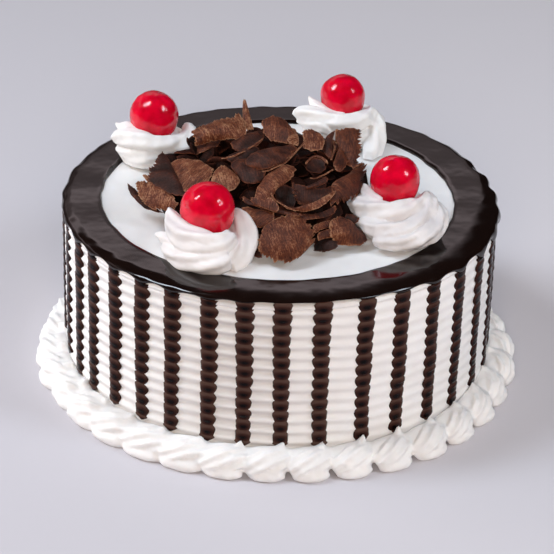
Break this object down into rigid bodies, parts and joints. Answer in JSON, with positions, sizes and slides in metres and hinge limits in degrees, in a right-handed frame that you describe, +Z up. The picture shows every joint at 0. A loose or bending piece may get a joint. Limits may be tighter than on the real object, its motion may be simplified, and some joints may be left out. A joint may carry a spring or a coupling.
{
  "type": "black forest cake",
  "caption": "Whole round cream cake with a combed side, a ganache collar with lines down the side, cherries on rosettes, chocolate shavings and a piped border.",
  "frame": {"origin": "centre of the cake's foot, on the surface that it stands on", "axes": "+Z up along the cake's axis, -Y towards the front, +X to the right"},
  "size_m": [0.2213, 0.2213, 0.1152],
  "materials": {
    "cream": "soft satin whipped cream",
    "ganache": "mirror gloss dark chocolate ganache",
    "cherry": "wet gloss syrup cherry",
    "chocolate": "satin planed chocolate"
  },
  "bodies": {
    "root": {"cake": "cream", "ganache": "ganache", "rosette_back_left": "cream", "rosette_back_right": "cream", "rosette_front_left": "cream", "rosette_right": "cream", "cherry_back_left": "cherry", "cherry_back_right": "cherry", "cherry_front_left": "cherry", "cherry_right": "cherry", "shavings_heap": "chocolate", "shell_01": "cream", "shell_02": "cream", "shell_03": "cream", "shell_04": "cream", "shell_05": "cream", "shell_06": "cream", "shell_07": "cream", "shell_08": "cream", "shell_09": "cream", "shell_10": "cream", "shell_11": "cream", "shell_12": "cream", "shell_13": "cream", "shell_14": "cream", "shell_15": "cream", "shell_16": "cream", "shell_17": "cream", "shell_18": "cream", "shell_19": "cream", "shell_20": "cream", "shell_21": "cream", "shell_22": "cream", "shell_23": "cream", "shell_24": "cream", "shell_25": "cream", "shell_26": "cream", "shell_27": "cream", "shell_28": "cream", "shell_29": "cream", "shell_30": "cream", "shell_31": "cream", "shell_32": "cream", "shell_33": "cream", "shell_34": "cream", "shell_35": "cream"}
  },
  "joints": []
}
